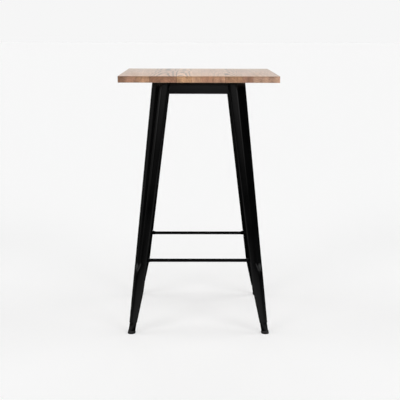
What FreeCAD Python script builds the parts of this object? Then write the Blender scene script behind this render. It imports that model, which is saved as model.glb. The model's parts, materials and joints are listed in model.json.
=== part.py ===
"""Square pub table: an edge-glued wooden top on four splayed legs of pressed sheet steel.

Millimetres. The origin is on the floor under the middle of the top, +Z is up and the front faces -Y.
Everything that repeats round the table is drawn once, at the front or at the front left leg, and turned
about Z in quarter turns.
"""
import FreeCAD
import Part
import math
import os
import Sketcher

Vector = FreeCAD.Vector

# Driving dimensions, in millimetres and degrees
SIZES = {
    # Wooden top: staves run front to back, widths from left to right
    "top_depth": 600,
    "top_thickness": 24,
    "stave_width_1": 68,
    "stave_width_2": 50,
    "stave_width_3": 100,
    "stave_width_4": 54,
    "stave_width_5": 35,
    "stave_width_6": 45,
    "stave_width_7": 46,
    "stave_width_8": 64,
    "stave_width_9": 38,
    "stave_width_10": 100,
    # Stance: across the outer leg corners under the top, and across the same lines at the floor
    "table_height": 1005,
    "frame_width": 359,
    "foot_span": 550.5,
    # Leg: pressed angle with lips, flange widths at the top, the ankle and the end
    "leg_sheet": 1.5,
    "flange_top": 67,
    "flange_ankle": 44.8,
    "flange_foot": 30.4,
    "ankle_height": 167,
    "leg_end_height": 44,
    "lip_top": 22,
    "lip_foot": 12,
    "lip_bend": 6,
    # Flute along the outer corner, narrower towards its lower end, then a plain round corner
    "ridge_start_top": 44,
    "ridge_start_low": 31,
    "ridge_radius": 18,
    "flute_angle": 55,
    "flute_height": 280,
    "flute_runout": 33,
    "corner_round_high": 20,
    "corner_round_foot": 13,
    # Apron rail: folded channel with end tabs
    "rail_sheet": 1.5,
    "rail_height": 50,
    "rail_setback": 4,
    "rail_flange": 22,
    "rail_lip": 10,
    "rail_tab": 22,
    "tab_relief": 2,
    # Foot rung: round bar with flattened ends that go through slots in the leg lips
    "rung_diameter": 13,
    "rung_height": 290,
    "rung_end_thickness": 6,
    "rung_end_height": 17,
    "rung_flare": 12,
    "rung_end_showing": 2,
    "rung_end_gap": 0.5,
    "slot_clearance": 0.8,
    # Foot: steel tube in the leg end, rubber cap on the tube
    "foot_tube_gap": 0.25,
    "foot_tube_wall": 2,
    "foot_tube_insert": 40,
    "cap_clearance": 0.15,
    "cap_wall": 1.4,
    "cap_sole": 4,
    "cap_cover": 7,
    "cap_edge": 1.2,
    # Bolts and flange nuts between rails and legs
    "bolt_diameter": 6,
    "bolt_pitch": 22,
    "bolt_length": 14,
    "bolt_head_flats": 8,
    "bolt_head_height": 5,
    "bolt_flange": 13.6,
    "bolt_flange_thickness": 1.4,
    "nut_flats": 10,
    "nut_flange": 14,
    "nut_flange_thickness": 1.4,
    "nut_height": 6,
    "bolt_hole_clearance": 0.6,
    "nut_clearance": 0.2,
    # Weld studs and flange nuts between rungs and legs
    "stud_diameter": 5,
    "stud_end": 2,
    "stud_chamfer": 0.6,
    "rung_nut_flats": 8,
    "rung_nut_flange": 11.6,
    "rung_nut_flange_thickness": 1.2,
    "rung_nut_height": 5,
    # Wood screws and washers between rails and top
    "screw_spacing": 140,
    "screw_diameter": 4.5,
    "screw_length": 20,
    "screw_point": 4,
    "screw_head": 9,
    "screw_head_height": 3,
    "recess_width": 1.2,
    "recess_span": 5,
    "recess_depth": 1.6,
    "screw_hole_clearance": 1,
    "pilot_clearance": 0.2,
    "washer_outer": 12,
    "washer_thickness": 1.2,
}

STAVE_COUNT = 10
QUARTERS = range(4)
CORNER_NAMES = ["front_left", "front_right", "back_right", "back_left"]
SIDE_NAMES = ["front", "right", "back", "left"]
ROUND_CORNER_ANGLE = 30
RUNOUT_STEPS = 5
RUNOUT_CURVE = 1.2
RUNG_FIRST_CORNER = 225

doc = FreeCAD.newDocument("pub_table")
sheet = doc.addObject("Spreadsheet::Sheet", "Sizes")
for row, (alias, value) in enumerate(SIZES.items(), start=1):
    sheet.set(f"A{row}", alias)
    sheet.set(f"B{row}", str(value))
    sheet.setAlias(f"B{row}", alias)
doc.recompute()

size = {alias: float(getattr(sheet, alias)) for alias in SIZES}
nodes = []


def keep(item, label):
    """Give a finished sub-part the label that names its file."""
    item.Label = label
    nodes.append(item)
    return item


def quarter_turn(index):
    """Placement that turns a front or front left piece round the table."""
    return FreeCAD.Placement(Vector(), FreeCAD.Rotation(Vector(0, 0, 1), 90 * index))


# Shared geometry of the splayed base, as expressions and as numbers, by the drop below the wood
BASE_HEIGHT = "(Sizes.table_height - Sizes.top_thickness)"
SPLAY = f"((Sizes.foot_span - Sizes.frame_width) / 2 / {BASE_HEIGHT})"
FLANGE_SLOPE = f"((Sizes.flange_top - Sizes.flange_ankle) / ({BASE_HEIGHT} - Sizes.ankle_height))"

base_height = sheet.evalExpression(BASE_HEIGHT)
splay = sheet.evalExpression(SPLAY)
flange_slope = sheet.evalExpression(FLANGE_SLOPE)
lip_lean = splay + flange_slope
rung_height = size["rung_height"]
ankle_height = size["ankle_height"]


def corner_expression(drop):
    """Half the stance over the outer leg corners."""
    return f"(Sizes.frame_width / 2 + {SPLAY} * {drop})"


def rail_half(drop):
    """Half the length of a rail, up to the lip of the leg."""
    return f"({corner_expression(drop)} - Sizes.flange_top + {FLANGE_SLOPE} * {drop})"


def rail_face(drop):
    """Distance from the middle of the table to the outer face of a rail."""
    return f"({corner_expression(drop)} - Sizes.rail_setback)"


def corner(z):
    """Half the stance over the outer leg corners at height z."""
    return size["frame_width"] / 2 + splay * (base_height - z)


def between(z, low, high):
    """Value at height z on the straight line through two (height, value) stations."""
    share = (z - low[0]) / (high[0] - low[0])
    return low[1] + share * (high[1] - low[1])


def ankle_width(z):
    """Width of a leg flange along its lower taper, carried on to the floor."""
    end = (size["leg_end_height"], size["flange_foot"])
    return between(z, end, (ankle_height, size["flange_ankle"]))


def flange_width(z):
    """Width of a leg flange at height z."""
    if z < ankle_height:
        return ankle_width(z)
    return between(z, (ankle_height, size["flange_ankle"]), (base_height, size["flange_top"]))


def ridge_start(z):
    """Where the flat of a leg flange ends and the ridge of the flute starts at height z."""
    low = (size["flute_height"], size["ridge_start_low"])
    return between(max(z, size["flute_height"]), low, (base_height, size["ridge_start_top"]))


def lip_depth(z):
    """Depth of the turned-in lips at height z."""
    return between(z, (size["leg_end_height"], size["lip_foot"]), (base_height, size["lip_top"]))


# Sketch helpers
def origin_plane(body, role):
    """One of the body's own origin planes."""
    return next(item for item in body.Origin.OriginFeatures if item.Role == role)


def polygon_sketch(body, name, role, points, lift="0"):
    """Closed polygon whose corners are pairs of expressions, on an origin plane lifted along its normal."""
    sketch = body.newObject("Sketcher::SketchObject", name)
    sketch.AttachmentSupport = [(origin_plane(body, role), "")]
    sketch.MapMode = "FlatFace"
    sketch.setExpression("AttachmentOffset.Base.z", lift)
    spots = [Vector(sheet.evalExpression(x), sheet.evalExpression(y), 0) for x, y in points]
    count = len(spots)
    for index, spot in enumerate(spots):
        sketch.addGeometry(Part.LineSegment(spot, spots[(index + 1) % count]), False)
    for index in range(count):
        sketch.addConstraint(Sketcher.Constraint("Coincident", index, 2, (index + 1) % count, 1))
    for index, (x, y) in enumerate(points):
        across = Sketcher.Constraint("DistanceX", -1, 1, index, 1, spots[index].x)
        sketch.setExpression(f"Constraints[{sketch.addConstraint(across)}]", x)
        upward = Sketcher.Constraint("DistanceY", -1, 1, index, 1, spots[index].y)
        sketch.setExpression(f"Constraints[{sketch.addConstraint(upward)}]", y)
    return sketch


def revolved_body(name, profile):
    """Body turned about Z from a closed profile of (radius, height) expressions."""
    body = doc.addObject("PartDesign::Body", name)
    sketch = polygon_sketch(body, name + "_profile", "XZ_Plane", profile)
    turned = body.newObject("PartDesign::Revolution", name + "_turned")
    turned.Profile = sketch
    turned.ReferenceAxis = (sketch, ["V_Axis"])
    turned.Angle = 360
    doc.recompute()
    return body


def hexagon(flats):
    """Corners of a hexagon, by its width across flats."""
    corners = []
    for index in range(6):
        angle = 60 * index
        corners.append((f"{flats} / sqrt(3) * cos({angle})", f"{flats} / sqrt(3) * sin({angle})"))
    return corners


def add_hexagon(body, flats, low, high):
    """Pad a hexagonal prism onto a body between two heights."""
    sketch = polygon_sketch(body, body.Name + "_hexagon", "XY_Plane", hexagon(flats), low)
    pad = body.newObject("PartDesign::Pad", body.Name + "_head")
    pad.Profile = sketch
    pad.setExpression("Length", f"{high} - ({low})")
    doc.recompute()


def pocket_polygon(body, points, depth):
    """Cut a polygon upwards into a body from the XY plane, and make sure that it cut."""
    before = body.Shape.Volume
    sketch = polygon_sketch(body, body.Name + "_cut_outline", "XY_Plane", points)
    pocket = body.newObject("PartDesign::Pocket", body.Name + "_cut")
    pocket.Profile = sketch
    pocket.Reversed = True
    pocket.setExpression("Length", depth)
    doc.recompute()
    if body.Shape.Volume >= before:
        raise RuntimeError(f"{body.Name}: the pocket cut nothing")


def placed_copies(pattern, frames):
    """Compound of a pattern's solid, its Z axis laid along each (point, direction)."""
    copies = []
    for point, direction in frames:
        copy = pattern.Shape.copy()
        copy.Placement = FreeCAD.Placement(point, FreeCAD.Rotation(Vector(0, 0, 1), direction))
        copies.append(copy)
    return Part.makeCompound(copies)


def turned_frames(frames):
    """The frames of one side, turned to all four sides."""
    turned = []
    for index in QUARTERS:
        turn = quarter_turn(index)
        turned += [(turn.multVec(point), turn.Rotation.multVec(axis)) for point, axis in frames]
    return turned


def group(label, pattern, frames):
    """One node of identical fasteners, as separate solids."""
    item = doc.addObject("Part::Feature", label)
    item.Shape = placed_copies(pattern, frames)
    return keep(item, label)


def drilled(radius, depth, frames):
    """Compound of drill cylinders that reach the depth to both sides of each point."""
    drills = []
    for point, axis in frames:
        drills.append(Part.makeCylinder(radius, 2 * depth, point - axis * depth, axis))
    return Part.makeCompound(drills)


# Frames of the fasteners on the front side: a point on a seat and the axis away from it
def rail_bolt_frames():
    """Points on the leg lips at both ends of the front rail, axes into the frame."""
    frames = []
    inset = (size["lip_bend"] + size["lip_top"]) / 2
    for side in (-1, 1):
        for step in (-0.5, 0.5):
            z = base_height - size["rail_height"] / 2 + step * size["bolt_pitch"]
            half = corner(z) - flange_width(z)
            axis = Vector(-side, 0, -lip_lean).normalize()
            frames.append((Vector(side * half, inset - corner(z), z), axis))
    return frames


def top_screw_frames():
    """Points on the underside of the top above the front rail's flange, axes up."""
    inset = size["rail_setback"] + (size["rail_sheet"] + size["rail_flange"]) / 2
    y = inset - size["frame_width"] / 2
    x = size["screw_spacing"] / 2
    return [(Vector(side * x, y, base_height), Vector(0, 0, 1)) for side in (-1, 1)]


def rung_stud_frames():
    """Points on the inner face of the front leg flanges at rung height, axes into the legs."""
    lip_inside = flange_width(rung_height) - size["leg_sheet"]
    x = corner(rung_height) - (ridge_start(rung_height) + lip_inside) / 2
    y = size["leg_sheet"] - corner(rung_height)
    axis = Vector(0, 1, -splay).normalize()
    return [(Vector(side * x, y, rung_height), axis) for side in (-1, 1)]


def shifted(frames, distance):
    """Frames moved along their own axes."""
    return [(point + axis * distance, axis) for point, axis in frames]


def reversed_axes(frames):
    """Frames whose axes point the other way."""
    return [(point, axis * -1) for point, axis in frames]


# Wooden top
def make_staves():
    """Ten staves, glued edge to edge, with pilot holes for the screws."""
    pilots = doc.addObject("Part::Feature", "pilot_holes")
    pilot_radius = (size["screw_diameter"] + size["pilot_clearance"]) / 2
    pilot_depth = size["screw_length"] - size["washer_thickness"] - size["rail_sheet"]
    pilots.Shape = drilled(pilot_radius, pilot_depth, turned_frames(top_screw_frames()))
    widths = [f"Sizes.stave_width_{number}" for number in range(1, STAVE_COUNT + 1)]
    left_edge = f"-({' + '.join(widths)}) / 2"
    for number, width in enumerate(widths, start=1):
        board = doc.addObject("Part::Box", f"board_{number}")
        board.setExpression("Length", width)
        board.setExpression("Width", "Sizes.top_depth")
        board.setExpression("Height", "Sizes.top_thickness")
        board.setExpression("Placement.Base.x", " + ".join([left_edge] + widths[:number - 1]))
        board.setExpression("Placement.Base.y", "-Sizes.top_depth / 2")
        board.setExpression("Placement.Base.z", BASE_HEIGHT)
        stave = doc.addObject("Part::Cut", f"top_stave_{number}")
        stave.Base = board
        stave.Tool = pilots
        keep(stave, f"top_stave_{number:02d}")


# Legs
def corner_form(z):
    """Ridge start, ridge radius and ridge turn of the outer corner at height z."""
    flute_end = size["flute_height"] - size["flute_runout"]
    end = (size["leg_end_height"], size["corner_round_foot"])
    plain = between(min(z, flute_end), end, (flute_end, size["corner_round_high"]))
    below = max(size["flute_height"] - z, 0) / size["flute_runout"]
    share = 1 - min(below, 1) ** RUNOUT_CURVE
    start = plain + share * (ridge_start(z) - plain)
    radius = plain + share * (size["ridge_radius"] - plain)
    turn = ROUND_CORNER_ANGLE + share * (size["flute_angle"] - ROUND_CORNER_ANGLE)
    return start, radius, math.radians(turn)


def leg_side(z, inset):
    """Corner to lip outline points of one skin of the leg, from the lip end to the middle of the corner.

    The outer skin has no inset; the inner skin is inset by the sheet. The flute is one arc between the two
    ridges, centred on the diagonal, so its middle point ends the list.
    """
    width = flange_width(z)
    bend = size["lip_bend"]
    start, ridge, turn = corner_form(z)
    reach = (start - ridge) / (math.sin(turn) - math.cos(turn))
    flute = reach - ridge
    bend_radius = bend - inset
    ridge_radius = ridge - inset
    half = turn / 2
    lean = math.sqrt(0.5)
    flute_middle = start - reach * math.sin(turn) + (flute + inset) * lean
    return [
        (width - inset, lip_depth(z)),
        (width - inset, bend),
        (width - bend + bend_radius * lean, bend - bend_radius * lean),
        (width - bend, inset),
        (start, inset),
        (start - ridge_radius * math.sin(half), ridge - ridge_radius * math.cos(half)),
        (start - ridge_radius * math.sin(turn), ridge - ridge_radius * math.cos(turn)),
        (flute_middle, flute_middle),
    ]


def skin_edges(z, inset):
    """Edges of one skin at height z, from the lip of the front flange to the lip of the left flange."""
    one = leg_side(z, inset)
    two = [(v, u) for u, v in reversed(one[:-1])]
    spot = [Vector(u - corner(z), v - corner(z), z) for u, v in one + two]
    return [
        Part.makeLine(spot[0], spot[1]),
        Part.Arc(spot[1], spot[2], spot[3]).toShape(),
        Part.makeLine(spot[3], spot[4]),
        Part.Arc(spot[4], spot[5], spot[6]).toShape(),
        Part.Arc(spot[6], spot[7], spot[8]).toShape(),
        Part.Arc(spot[8], spot[9], spot[10]).toShape(),
        Part.makeLine(spot[10], spot[11]),
        Part.Arc(spot[11], spot[12], spot[13]).toShape(),
        Part.makeLine(spot[13], spot[14]),
    ]


def leg_wire(z):
    """Closed outline of the pressed sheet at height z."""
    outer = skin_edges(z, 0)
    inner = skin_edges(z, size["leg_sheet"])
    near_lip = Part.makeLine(outer[0].Vertexes[0].Point, inner[0].Vertexes[0].Point)
    far_lip = Part.makeLine(outer[-1].Vertexes[-1].Point, inner[-1].Vertexes[-1].Point)
    return Part.Wire(Part.__sortEdges__([near_lip] + outer + [far_lip] + inner))


def lip_slot():
    """Cutter for the rung's end in the lip of the front flange."""
    room = size["slot_clearance"]
    reach = size["rung_end_height"] / 2 + room
    outlines = []
    for z in (rung_height - reach, rung_height + reach):
        left = flange_width(z) - size["lip_bend"] - corner(z)
        right = flange_width(z) + size["lip_bend"] - corner(z)
        near = size["leg_sheet"] - corner(z)
        far = near + size["rung_end_thickness"] + room
        spots = [Vector(left, near, z), Vector(right, near, z), Vector(right, far, z), Vector(left, far, z)]
        outlines.append(Part.makePolygon(spots + spots[:1]))
    return Part.makeLoft(outlines, True, True)


def across_diagonal(shape):
    """Mirror a shape over the diagonal of the front left leg."""
    return shape.mirror(Vector(), Vector(1, -1, 0))


def make_legs():
    """Four pressed legs: a ruled loft through level outlines, with rung slots and bolt holes."""
    drops = [size["flute_runout"] * step / RUNOUT_STEPS for step in range(RUNOUT_STEPS + 1)]
    runout = [size["flute_height"] - drop for drop in drops]
    levels = [base_height] + runout + [ankle_height, size["leg_end_height"]]
    pressed = Part.makeLoft([leg_wire(z) for z in levels], True, True)
    hole_radius = (size["bolt_diameter"] + size["bolt_hole_clearance"]) / 2
    left_end = [frame for frame in rail_bolt_frames() if frame[0].x < 0]
    cutter = Part.makeCompound([lip_slot(), drilled(hole_radius, size["lip_bend"], left_end)])
    leg_shape = pressed.cut([cutter, across_diagonal(cutter)])
    for index, name in enumerate(CORNER_NAMES):
        leg = doc.addObject("Part::Feature", f"leg_{name}")
        leg.Shape = leg_shape.Solids[0].copy()
        leg.Placement = quarter_turn(index)
        keep(leg, f"leg_{name}")


# Apron rails
def slanted_block(name, low, high, left, right, near, far):
    """Block between two drops below the wood, whose sides follow expressions of the drop."""
    block = doc.addObject("Part::Wedge", name)
    block.Placement = FreeCAD.Placement(Vector(), FreeCAD.Rotation(Vector(1, 0, 0), 90))
    block.setExpression("Ymin", f"{BASE_HEIGHT} - {low}")
    block.setExpression("Ymax", f"{BASE_HEIGHT} - {high}")
    block.setExpression("Xmin", left(low))
    block.setExpression("Xmax", right(low))
    block.setExpression("X2min", left(high))
    block.setExpression("X2max", right(high))
    block.setExpression("Zmin", near(low))
    block.setExpression("Zmax", far(low))
    block.setExpression("Z2min", near(high))
    block.setExpression("Z2max", far(high))
    return block


def behind_face(depth):
    """Side of a block at a depth behind the rail's outer face."""
    return lambda drop: f"{rail_face(drop)} - {depth}"


def make_rail_channel(prefix):
    """Web, top flange, bottom lip and two end tabs of one rail, fused to one folded sheet."""
    sheet_top = "Sizes.rail_sheet"
    low_edge = "Sizes.rail_height"
    lip_edge = "(Sizes.rail_height - Sizes.rail_sheet)"
    tab_top = "(Sizes.rail_sheet + Sizes.tab_relief)"
    tab_low = "(Sizes.rail_height - Sizes.rail_sheet - Sizes.tab_relief)"
    left = lambda drop: f"-{rail_half(drop)}"
    left_inside = lambda drop: f"-{rail_half(drop)} + Sizes.rail_sheet"
    right_inside = lambda drop: f"{rail_half(drop)} - Sizes.rail_sheet"
    flange_end = lambda drop: f"{rail_face('0')} - Sizes.rail_flange"
    lip_end = lambda drop: f"{rail_face(low_edge)} - Sizes.rail_lip"
    web_back = behind_face("Sizes.rail_sheet")
    tab_back = behind_face("Sizes.rail_tab")
    blocks = [
        slanted_block(prefix + "_web", low_edge, "0", left, rail_half, web_back, rail_face),
        slanted_block(prefix + "_flange", sheet_top, "0", left, rail_half, flange_end, rail_face),
        slanted_block(prefix + "_lip", low_edge, lip_edge, left, rail_half, lip_end, rail_face),
        slanted_block(prefix + "_left_tab", tab_low, tab_top, left, left_inside, tab_back, rail_face),
        slanted_block(prefix + "_right_tab", tab_low, tab_top, right_inside, rail_half, tab_back, rail_face),
    ]
    channel = doc.addObject("Part::MultiFuse", prefix + "_channel")
    channel.Shapes = blocks
    channel.Refine = True
    return channel


def make_rails():
    """Four apron rails with bolt holes in the end tabs and screw holes in the top flange."""
    holes = doc.addObject("Part::Feature", "rail_holes")
    bolt_hole = (size["bolt_diameter"] + size["bolt_hole_clearance"]) / 2
    screw_hole = (size["screw_diameter"] + size["screw_hole_clearance"]) / 2
    holes.Shape = Part.makeCompound([
        drilled(bolt_hole, 2 * size["rail_sheet"], rail_bolt_frames()),
        drilled(screw_hole, 2 * size["rail_sheet"], top_screw_frames()),
    ])
    for index, name in enumerate(SIDE_NAMES):
        rail = doc.addObject("Part::Cut", f"apron_rail_{name}")
        rail.Base = make_rail_channel(f"rail_{name}")
        rail.Tool = holes
        rail.Placement = quarter_turn(index)
        keep(rail, f"apron_rail_{name}")


# Foot rungs
def rung_outline(x, flat):
    """Section of a rung at x: the round bar, or its end pressed flat against the leg's flange."""
    inward = Vector(0, 1, -splay).normalize()
    upward = Vector(0, splay, 1).normalize()
    seat = Vector(x, size["leg_sheet"] - corner(rung_height), rung_height)
    radius = size["rung_diameter"] / 2
    if flat:
        high = size["rung_end_height"] / 2
        thick = size["rung_end_thickness"]
        corners = [(0, -high), (0, high), (thick, high), (thick, -high)]
        spots = [seat + inward * depth + upward * height for depth, height in corners]
        return Part.makePolygon(spots + spots[:1])
    middle = seat + inward * radius
    quarters = []
    for quarter in QUARTERS:
        turns = [math.radians(RUNG_FIRST_CORNER - 90 * quarter - 45 * half) for half in range(3)]
        rays = [inward * math.cos(turn) + upward * math.sin(turn) for turn in turns]
        quarters.append(Part.Arc(*[middle + ray * radius for ray in rays]).toShape())
    return Part.Wire(quarters)


def make_rungs():
    """Four round bars, flattened at both ends and drilled for the studs."""
    lip_face = corner(rung_height) - flange_width(rung_height)
    end = corner(rung_height) - ridge_start(rung_height) - size["rung_end_gap"]
    flat_start = lip_face - size["rung_end_showing"]
    stations = [(end, True), (flat_start, True), (flat_start - size["rung_flare"], False)]
    outlines = [rung_outline(x, flat) for x, flat in stations]
    outlines += [rung_outline(-x, flat) for x, flat in reversed(stations)]
    bar = Part.makeLoft(outlines, True, True)
    hole_radius = (size["stud_diameter"] + size["bolt_hole_clearance"]) / 2
    bar = bar.cut(drilled(hole_radius, size["rung_end_height"], rung_stud_frames()))
    for index, name in enumerate(SIDE_NAMES):
        rung = doc.addObject("Part::Feature", f"foot_rung_{name}")
        rung.Shape = bar.Solids[0].copy()
        rung.Placement = quarter_turn(index)
        keep(rung, f"foot_rung_{name}")


# Feet
def foot_placement(index):
    """Placement with Z along the leg's own middle line, from its point on the floor."""
    spots = []
    for z in (0, ankle_height):
        reach = corner(z) - ankle_width(z) / 2
        spots.append(Vector(-reach, -reach, z))
    axis = spots[1] - spots[0]
    upright = FreeCAD.Placement(spots[0], FreeCAD.Rotation(Vector(0, 0, 1), axis))
    return quarter_turn(index).multiply(upright)


def make_feet():
    """Four steel tubes in the leg ends, and rubber caps cut level with the floor."""
    tube_radius = "(Sizes.flange_foot / 2 - Sizes.leg_sheet - Sizes.foot_tube_gap)"
    tube_bore = f"({tube_radius} - Sizes.foot_tube_wall)"
    tube_top = "(Sizes.leg_end_height + Sizes.foot_tube_insert)"
    cap_bore = f"({tube_radius} + Sizes.cap_clearance)"
    cap_radius = f"({cap_bore} + Sizes.cap_wall)"
    cap_rim = "(Sizes.cap_sole + Sizes.cap_cover)"
    for index, name in enumerate(CORNER_NAMES):
        tube = revolved_body(f"foot_tube_{name}", [
            (tube_bore, "Sizes.cap_sole"),
            (tube_radius, "Sizes.cap_sole"),
            (tube_radius, tube_top),
            (tube_bore, tube_top),
        ])
        tube.Placement = foot_placement(index)
        keep(tube, f"foot_tube_{name}")
        blank = revolved_body(f"cap_blank_{name}", [
            ("0", f"-{cap_radius}"),
            (cap_radius, f"-{cap_radius}"),
            (cap_radius, f"{cap_rim} - Sizes.cap_edge"),
            (f"{cap_radius} - Sizes.cap_edge", cap_rim),
            (cap_bore, cap_rim),
            (cap_bore, "Sizes.cap_sole"),
            ("0", "Sizes.cap_sole"),
        ])
        blank.Placement = foot_placement(index)
        below = doc.addObject("Part::Box", f"floor_{name}")
        below.setExpression("Length", "2 * Sizes.foot_span")
        below.setExpression("Width", "2 * Sizes.foot_span")
        below.setExpression("Height", "Sizes.foot_span")
        below.setExpression("Placement.Base.x", "-Sizes.foot_span")
        below.setExpression("Placement.Base.y", "-Sizes.foot_span")
        below.setExpression("Placement.Base.z", "-Sizes.foot_span")
        cap = doc.addObject("Part::Cut", f"foot_cap_{name}")
        cap.Base = blank
        cap.Tool = below
        keep(cap, f"foot_cap_{name}")


# Fasteners
def flange_nut(name, bore, flats, flange, flange_thickness, height):
    """Hexagonal nut on a round flange, seated at height 0, drilled for its thread."""
    body = revolved_body(name, [
        (bore, "0"),
        (f"{flange} / 2", "0"),
        (f"{flange} / 2", flange_thickness),
        (bore, flange_thickness),
    ])
    sketch = polygon_sketch(body, name + "_hexagon", "XY_Plane", hexagon(flats))
    circle = sketch.addGeometry(Part.Circle(Vector(), Vector(0, 0, 1), sheet.evalExpression(bore)), False)
    sketch.addConstraint(Sketcher.Constraint("Coincident", circle, 3, -1, 1))
    radius = Sketcher.Constraint("Radius", circle, sheet.evalExpression(bore))
    sketch.setExpression(f"Constraints[{sketch.addConstraint(radius)}]", bore)
    pad = body.newObject("PartDesign::Pad", name + "_flats")
    pad.Profile = sketch
    pad.setExpression("Length", height)
    doc.recompute()
    return body


def make_rail_fasteners():
    """Flange bolts from inside the frame, through tab and lip, with nuts inside the legs."""
    bolt = revolved_body("rail_bolt", [
        ("0", "-Sizes.bolt_length"),
        ("Sizes.bolt_diameter / 2", "-Sizes.bolt_length"),
        ("Sizes.bolt_diameter / 2", "0"),
        ("Sizes.bolt_flange / 2", "0"),
        ("Sizes.bolt_flange / 2", "Sizes.bolt_flange_thickness"),
        ("0", "Sizes.bolt_flange_thickness"),
    ])
    head_top = "Sizes.bolt_flange_thickness + Sizes.bolt_head_height"
    add_hexagon(bolt, "Sizes.bolt_head_flats", "Sizes.bolt_flange_thickness", head_top)
    nut_bore = "(Sizes.bolt_diameter + Sizes.nut_clearance) / 2"
    nut = flange_nut("rail_nut", nut_bore, "Sizes.nut_flats", "Sizes.nut_flange",
                     "Sizes.nut_flange_thickness", "Sizes.nut_height")
    square = math.hypot(1, lip_lean)
    seats = turned_frames(rail_bolt_frames())
    group("rail_bolts", bolt, shifted(seats, size["rail_sheet"] / square))
    group("rail_nuts", nut, reversed_axes(shifted(seats, -size["leg_sheet"] / square)))


def make_rung_fasteners():
    """Studs welded inside the leg flanges, with nuts on the flattened rung ends."""
    length = "(Sizes.rung_end_thickness + Sizes.rung_nut_height + Sizes.stud_end)"
    radius = "Sizes.stud_diameter / 2"
    stud = revolved_body("rung_stud", [
        ("0", "0"),
        (radius, "0"),
        (radius, f"{length} - Sizes.stud_chamfer"),
        (f"{radius} - Sizes.stud_chamfer", length),
        ("0", length),
    ])
    nut_bore = "(Sizes.stud_diameter + Sizes.nut_clearance) / 2"
    nut = flange_nut("rung_nut", nut_bore, "Sizes.rung_nut_flats", "Sizes.rung_nut_flange",
                     "Sizes.rung_nut_flange_thickness", "Sizes.rung_nut_height")
    seats = turned_frames(rung_stud_frames())
    group("rung_studs", stud, seats)
    group("rung_nuts", nut, shifted(seats, size["rung_end_thickness"]))


def make_top_fasteners():
    """Pan-head wood screws with washers, from under the rail flanges up into the top."""
    wide = "Sizes.recess_span / 2"
    slim = "Sizes.recess_width / 2"
    screw = revolved_body("top_screw", [
        ("0", "0"),
        ("Sizes.screw_head / 2 - Sizes.screw_head_height / 3", "0"),
        ("Sizes.screw_head / 2", "Sizes.screw_head_height / 2"),
        ("Sizes.screw_head / 2", "Sizes.screw_head_height"),
        ("Sizes.screw_diameter / 2", "Sizes.screw_head_height"),
        ("Sizes.screw_diameter / 2", "Sizes.screw_head_height + Sizes.screw_length - Sizes.screw_point"),
        ("0", "Sizes.screw_head_height + Sizes.screw_length"),
    ])
    cross = []
    for along, across in ((1, 1), (1, -1), (-1, -1), (-1, 1)):
        spots = [(wide, slim), (slim, slim), (slim, wide)]
        spots = [(f"{along} * {x}", f"{across} * {y}") for x, y in spots]
        cross += spots[::-1] if along * across > 0 else spots
    pocket_polygon(screw, cross, "Sizes.recess_depth")
    washer_bore = "(Sizes.screw_diameter + Sizes.screw_hole_clearance) / 2"
    washer = revolved_body("top_washer", [
        (washer_bore, "0"),
        ("Sizes.washer_outer / 2", "0"),
        ("Sizes.washer_outer / 2", "Sizes.washer_thickness"),
        (washer_bore, "Sizes.washer_thickness"),
    ])
    washer_low = -size["rail_sheet"] - size["washer_thickness"]
    seats = turned_frames(top_screw_frames())
    group("top_screws", screw, shifted(seats, washer_low - size["screw_head_height"]))
    group("top_washers", washer, shifted(seats, washer_low))


def write_parts():
    """Check every object, then write each sub-part to its own file."""
    doc.recompute()
    for item in doc.Objects:
        if "Invalid" in item.State or "Error" in item.State:
            raise RuntimeError(f"{item.Label}: {item.State}")
    for item in nodes:
        if item.Shape.isNull() or not item.Shape.isValid() or not item.Shape.Solids:
            raise RuntimeError(f"{item.Label}: no valid solid")
    os.makedirs("parts", exist_ok=True)
    for item in nodes:
        item.Shape.exportStep(f"parts/{item.Label}.step")
        print(f"{item.Label}: {len(item.Shape.Solids)} solid(s), {item.Shape.Volume / 1000:.2f} cm3")


make_staves()
make_legs()
make_rails()
make_rungs()
make_feet()
make_rail_fasteners()
make_rung_fasteners()
make_top_fasteners()
write_parts()
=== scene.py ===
# %% [markdown]
# # A square pub table
# The table is a wooden top on four splayed legs of pressed sheet steel, with a sheet apron under the top,
# thin foot rungs between the legs and rubber feet. The CAD model gives every size and place. This lesson
# builds the pieces again with softer edges and real bends, and gives each one a finish made of nodes.
#
# The first lines load the CAD model as a fixed frame. Its box is kept, so that the dressed table can be
# compared with it at the end.

import json
import math

import bmesh
import bpy
import numpy as np
from mathutils import Matrix, Vector

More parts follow.
